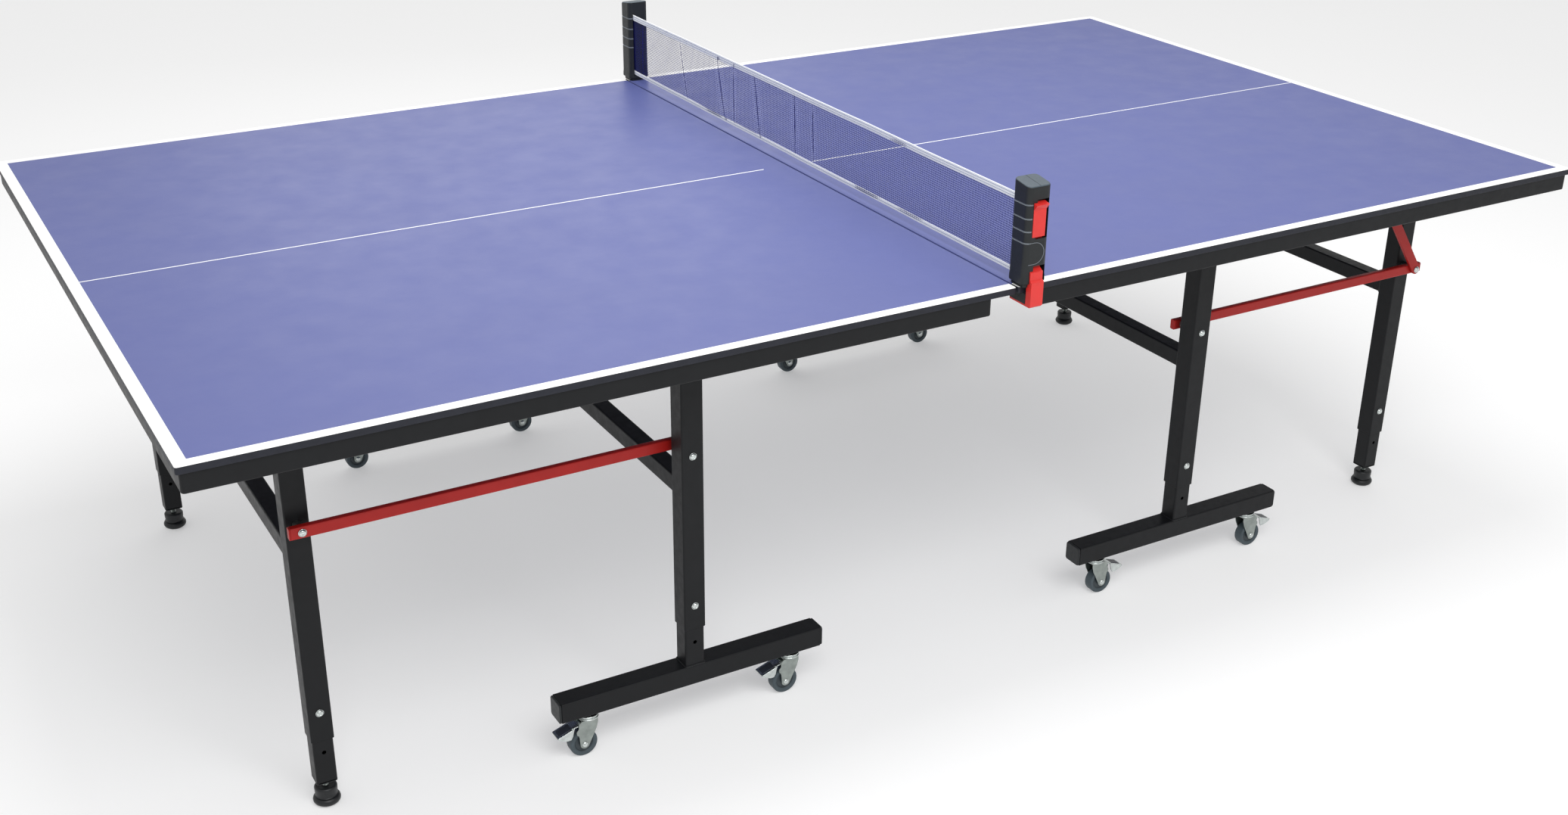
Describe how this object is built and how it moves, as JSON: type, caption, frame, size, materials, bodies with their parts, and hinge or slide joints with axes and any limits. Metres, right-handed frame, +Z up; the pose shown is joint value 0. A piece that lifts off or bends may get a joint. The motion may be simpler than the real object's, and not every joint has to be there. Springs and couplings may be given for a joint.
{
  "type": "table tennis table",
  "caption": "Folding table tennis table: blue boards on black steel leg frames with locking casters, red link bars and a clamp-on net.",
  "frame": {"origin": "on the floor under the middle of the net line", "axes": "+X along the table's length, +Y along the net from the near edge to the far edge, +Z up"},
  "size_m": [2.74, 1.567, 0.9419],
  "materials": {
    "blue_board": "satin paint",
    "black_steel": "semi-gloss powder coat",
    "red_steel": "semi-gloss powder coat",
    "zinc": "bright zinc plate",
    "grey_wheel": "matte",
    "black_plastic": "matte moulded",
    "red_plastic": "gloss moulded",
    "net_mesh": "woven mesh"
  },
  "bodies": {
    "left_stand": {"left_t_frame": "black_steel", "left_near_t_base": "black_steel", "left_far_t_base": "black_steel"},
    "left_top": {"left_board": "blue_board", "left_apron_frame": "black_steel", "left_near_leg_rail": "black_steel", "left_far_leg_rail": "black_steel"},
    "left_end_legs": {"left_end_leg_frame": "black_steel", "left_near_end_leg_tube": "black_steel", "left_far_end_leg_tube": "black_steel"},
    "left_near_link": {"left_near_link_bar": "red_steel"},
    "left_far_link": {"left_far_link_bar": "red_steel"},
    "left_latch_stay": {"left_stay": "red_steel"},
    "left_near_foot": {"left_near_levelling_foot": "black_plastic"},
    "left_near_inner_fork": {"left_near_inner_caster_fork": "zinc"},
    "left_near_inner_wheel": {"left_near_inner_caster_wheel": "grey_wheel"},
    "left_near_inner_pedal": {"left_near_inner_caster_pedal": "zinc"},
    "left_near_outer_fork": {"left_near_outer_caster_fork": "zinc"},
    "left_near_outer_wheel": {"left_near_outer_caster_wheel": "grey_wheel"},
    "left_near_outer_pedal": {"left_near_outer_caster_pedal": "zinc"},
    "left_far_foot": {"left_far_levelling_foot": "black_plastic"},
    "left_far_inner_fork": {"left_far_inner_caster_fork": "zinc"},
    "left_far_inner_wheel": {"left_far_inner_caster_wheel": "grey_wheel"},
    "left_far_inner_pedal": {"left_far_inner_caster_pedal": "zinc"},
    "left_far_outer_fork": {"left_far_outer_caster_fork": "zinc"},
    "left_far_outer_wheel": {"left_far_outer_caster_wheel": "grey_wheel"},
    "left_far_outer_pedal": {"left_far_outer_caster_pedal": "zinc"},
    "right_stand": {"right_t_frame": "black_steel", "right_near_t_base": "black_steel", "right_far_t_base": "black_steel"},
    "right_top": {"right_board": "blue_board", "right_apron_frame": "black_steel", "right_near_leg_rail": "black_steel", "right_far_leg_rail": "black_steel", "near_net_post": "black_plastic", "far_net_post": "black_plastic", "net": "net_mesh"},
    "right_end_legs": {"right_end_leg_frame": "black_steel", "right_near_end_leg_tube": "black_steel", "right_far_end_leg_tube": "black_steel"},
    "right_near_link": {"right_near_link_bar": "red_steel"},
    "right_far_link": {"right_far_link_bar": "red_steel"},
    "right_latch_stay": {"right_stay": "red_steel"},
    "right_near_foot": {"right_near_levelling_foot": "black_plastic"},
    "right_near_inner_fork": {"right_near_inner_caster_fork": "zinc"},
    "right_near_inner_wheel": {"right_near_inner_caster_wheel": "grey_wheel"},
    "right_near_inner_pedal": {"right_near_inner_caster_pedal": "zinc"},
    "right_near_outer_fork": {"right_near_outer_caster_fork": "zinc"},
    "right_near_outer_wheel": {"right_near_outer_caster_wheel": "grey_wheel"},
    "right_near_outer_pedal": {"right_near_outer_caster_pedal": "zinc"},
    "right_far_foot": {"right_far_levelling_foot": "black_plastic"},
    "right_far_inner_fork": {"right_far_inner_caster_fork": "zinc"},
    "right_far_inner_wheel": {"right_far_inner_caster_wheel": "grey_wheel"},
    "right_far_inner_pedal": {"right_far_inner_caster_pedal": "zinc"},
    "right_far_outer_fork": {"right_far_outer_caster_fork": "zinc"},
    "right_far_outer_wheel": {"right_far_outer_caster_wheel": "grey_wheel"},
    "right_far_outer_pedal": {"right_far_outer_caster_pedal": "zinc"},
    "near_lever": {"near_clamp_lever": "red_plastic"},
    "far_lever": {"far_clamp_lever": "red_plastic"},
    "net_reel": {"net_roller": "net_mesh"}
  },
  "joints": [
    {"name": "left_fold", "type": "hinge", "parent": "left_stand", "child": "left_top", "pos_m": [-0.544, 0, 0.69], "axis": [0, 1, 0], "range_deg": [0, 90]},
    {"name": "left_end_legs_turn", "type": "hinge", "parent": "left_top", "child": "left_end_legs", "pos_m": [-1.172, 0, 0.69], "axis": [0, -1, 0], "range_deg": [0, 90]},
    {"name": "left_near_link_turn", "type": "hinge", "parent": "left_stand", "child": "left_near_link", "pos_m": [-0.544, -0.576, 0.523], "axis": [0, 1, 0], "range_deg": [0, 90]},
    {"name": "left_far_link_turn", "type": "hinge", "parent": "left_stand", "child": "left_far_link", "pos_m": [-0.544, 0.576, 0.523], "axis": [0, 1, 0], "range_deg": [0, 90]},
    {"name": "left_stay_turn", "type": "hinge", "parent": "left_end_legs", "child": "left_latch_stay", "pos_m": [-1.172, 0.583, 0.523], "axis": [0, 1, 0], "range_deg": [0, 145]},
    {"name": "left_near_foot_spin", "type": "hinge", "parent": "left_end_legs", "child": "left_near_foot", "pos_m": [-1.172, -0.535, 0.02], "axis": [0, 0, 1], "continuous": true},
    {"name": "left_near_inner_swivel", "type": "hinge", "parent": "left_stand", "child": "left_near_inner_fork", "pos_m": [-0.3475, -0.617, 0.08], "axis": [0, 0, 1], "continuous": true},
    {"name": "left_near_inner_roll", "type": "hinge", "parent": "left_near_inner_fork", "child": "left_near_inner_wheel", "pos_m": [-0.36, -0.617, 0.025], "axis": [0, 1, 0], "continuous": true},
    {"name": "left_near_inner_brake", "type": "hinge", "parent": "left_near_inner_fork", "child": "left_near_inner_pedal", "pos_m": [-0.3655, -0.617, 0.06], "axis": [0, -1, 0], "range_deg": [0, 10]},
    {"name": "left_near_outer_swivel", "type": "hinge", "parent": "left_stand", "child": "left_near_outer_fork", "pos_m": [-0.7405, -0.617, 0.08], "axis": [0, 0, 1], "continuous": true},
    {"name": "left_near_outer_roll", "type": "hinge", "parent": "left_near_outer_fork", "child": "left_near_outer_wheel", "pos_m": [-0.753, -0.617, 0.025], "axis": [0, 1, 0], "continuous": true},
    {"name": "left_near_outer_brake", "type": "hinge", "parent": "left_near_outer_fork", "child": "left_near_outer_pedal", "pos_m": [-0.7585, -0.617, 0.06], "axis": [0, -1, 0], "range_deg": [0, 10]},
    {"name": "left_far_foot_spin", "type": "hinge", "parent": "left_end_legs", "child": "left_far_foot", "pos_m": [-1.172, 0.535, 0.02], "axis": [0, 0, 1], "continuous": true},
    {"name": "left_far_inner_swivel", "type": "hinge", "parent": "left_stand", "child": "left_far_inner_fork", "pos_m": [-0.3475, 0.617, 0.08], "axis": [0, 0, 1], "continuous": true},
    {"name": "left_far_inner_roll", "type": "hinge", "parent": "left_far_inner_fork", "child": "left_far_inner_wheel", "pos_m": [-0.36, 0.617, 0.025], "axis": [0, 1, 0], "continuous": true},
    {"name": "left_far_inner_brake", "type": "hinge", "parent": "left_far_inner_fork", "child": "left_far_inner_pedal", "pos_m": [-0.3655, 0.617, 0.06], "axis": [0, -1, 0], "range_deg": [0, 10]},
    {"name": "left_far_outer_swivel", "type": "hinge", "parent": "left_stand", "child": "left_far_outer_fork", "pos_m": [-0.7405, 0.617, 0.08], "axis": [0, 0, 1], "continuous": true},
    {"name": "left_far_outer_roll", "type": "hinge", "parent": "left_far_outer_fork", "child": "left_far_outer_wheel", "pos_m": [-0.753, 0.617, 0.025], "axis": [0, 1, 0], "continuous": true},
    {"name": "left_far_outer_brake", "type": "hinge", "parent": "left_far_outer_fork", "child": "left_far_outer_pedal", "pos_m": [-0.7585, 0.617, 0.06], "axis": [0, -1, 0], "range_deg": [0, 10]},
    {"name": "right_half_roll", "type": "slide", "parent": "left_stand", "child": "right_stand", "axis": [1, 0, 0], "range_m": [0, 0.3]},
    {"name": "right_fold", "type": "hinge", "parent": "right_stand", "child": "right_top", "pos_m": [0.544, 0, 0.69], "axis": [0, -1, 0], "range_deg": [0, 90]},
    {"name": "right_end_legs_turn", "type": "hinge", "parent": "right_top", "child": "right_end_legs", "pos_m": [1.172, 0, 0.69], "axis": [0, 1, 0], "range_deg": [0, 90]},
    {"name": "right_near_link_turn", "type": "hinge", "parent": "right_stand", "child": "right_near_link", "pos_m": [0.544, -0.576, 0.523], "axis": [0, -1, 0], "range_deg": [0, 90]},
    {"name": "right_far_link_turn", "type": "hinge", "parent": "right_stand", "child": "right_far_link", "pos_m": [0.544, 0.576, 0.523], "axis": [0, -1, 0], "range_deg": [0, 90]},
    {"name": "right_stay_turn", "type": "hinge", "parent": "right_end_legs", "child": "right_latch_stay", "pos_m": [1.172, -0.583, 0.523], "axis": [0, -1, 0], "range_deg": [0, 145]},
    {"name": "right_near_foot_spin", "type": "hinge", "parent": "right_end_legs", "child": "right_near_foot", "pos_m": [1.172, -0.535, 0.02], "axis": [0, 0, 1], "continuous": true},
    {"name": "right_near_inner_swivel", "type": "hinge", "parent": "right_stand", "child": "right_near_inner_fork", "pos_m": [0.3475, -0.617, 0.08], "axis": [0, 0, 1], "continuous": true},
    {"name": "right_near_inner_roll", "type": "hinge", "parent": "right_near_inner_fork", "child": "right_near_inner_wheel", "pos_m": [0.36, -0.617, 0.025], "axis": [0, 1, 0], "continuous": true},
    {"name": "right_near_inner_brake", "type": "hinge", "parent": "right_near_inner_fork", "child": "right_near_inner_pedal", "pos_m": [0.3655, -0.617, 0.06], "axis": [0, 1, 0], "range_deg": [0, 10]},
    {"name": "right_near_outer_swivel", "type": "hinge", "parent": "right_stand", "child": "right_near_outer_fork", "pos_m": [0.7405, -0.617, 0.08], "axis": [0, 0, 1], "continuous": true},
    {"name": "right_near_outer_roll", "type": "hinge", "parent": "right_near_outer_fork", "child": "right_near_outer_wheel", "pos_m": [0.753, -0.617, 0.025], "axis": [0, 1, 0], "continuous": true},
    {"name": "right_near_outer_brake", "type": "hinge", "parent": "right_near_outer_fork", "child": "right_near_outer_pedal", "pos_m": [0.7585, -0.617, 0.06], "axis": [0, 1, 0], "range_deg": [0, 10]},
    {"name": "right_far_foot_spin", "type": "hinge", "parent": "right_end_legs", "child": "right_far_foot", "pos_m": [1.172, 0.535, 0.02], "axis": [0, 0, 1], "continuous": true},
    {"name": "right_far_inner_swivel", "type": "hinge", "parent": "right_stand", "child": "right_far_inner_fork", "pos_m": [0.3475, 0.617, 0.08], "axis": [0, 0, 1], "continuous": true},
    {"name": "right_far_inner_roll", "type": "hinge", "parent": "right_far_inner_fork", "child": "right_far_inner_wheel", "pos_m": [0.36, 0.617, 0.025], "axis": [0, 1, 0], "continuous": true},
    {"name": "right_far_inner_brake", "type": "hinge", "parent": "right_far_inner_fork", "child": "right_far_inner_pedal", "pos_m": [0.3655, 0.617, 0.06], "axis": [0, 1, 0], "range_deg": [0, 10]},
    {"name": "right_far_outer_swivel", "type": "hinge", "parent": "right_stand", "child": "right_far_outer_fork", "pos_m": [0.7405, 0.617, 0.08], "axis": [0, 0, 1], "continuous": true},
    {"name": "right_far_outer_roll", "type": "hinge", "parent": "right_far_outer_fork", "child": "right_far_outer_wheel", "pos_m": [0.753, 0.617, 0.025], "axis": [0, 1, 0], "continuous": true},
    {"name": "right_far_outer_brake", "type": "hinge", "parent": "right_far_outer_fork", "child": "right_far_outer_pedal", "pos_m": [0.7585, 0.617, 0.06], "axis": [0, 1, 0], "range_deg": [0, 10]},
    {"name": "near_clamp_press", "type": "hinge", "parent": "right_top", "child": "near_lever", "pos_m": [0.0255, -0.7645, 0.815], "axis": [-1, 0, 0], "range_deg": [0, 8], "stiffness_Nm_per_rad": 1.5, "springref_deg": -6.88},
    {"name": "far_clamp_press", "type": "hinge", "parent": "right_top", "child": "far_lever", "pos_m": [0.0255, 0.7645, 0.815], "axis": [1, 0, 0], "range_deg": [0, 8], "stiffness_Nm_per_rad": 1.5, "springref_deg": -6.88},
    {"name": "net_reel_turn", "type": "hinge", "parent": "right_top", "child": "net_reel", "pos_m": [0.022, -0.7405, 0.84], "axis": [0, 0, 1], "continuous": true}
  ],
  "couplings": [
    {"joint": "left_end_legs_turn", "follows": "left_fold", "ratio": 1},
    {"joint": "left_near_link_turn", "follows": "left_fold", "ratio": 1},
    {"joint": "left_far_link_turn", "follows": "left_fold", "ratio": 1},
    {"joint": "left_stay_turn", "follows": "left_fold", "ratio": 1.6111},
    {"joint": "right_fold", "follows": "right_half_roll", "rad_per_m": 5.236},
    {"joint": "right_end_legs_turn", "follows": "right_half_roll", "rad_per_m": 5.236},
    {"joint": "right_near_link_turn", "follows": "right_half_roll", "rad_per_m": 5.236},
    {"joint": "right_far_link_turn", "follows": "right_half_roll", "rad_per_m": 5.236},
    {"joint": "right_stay_turn", "follows": "right_half_roll", "rad_per_m": 8.4358}
  ]
}
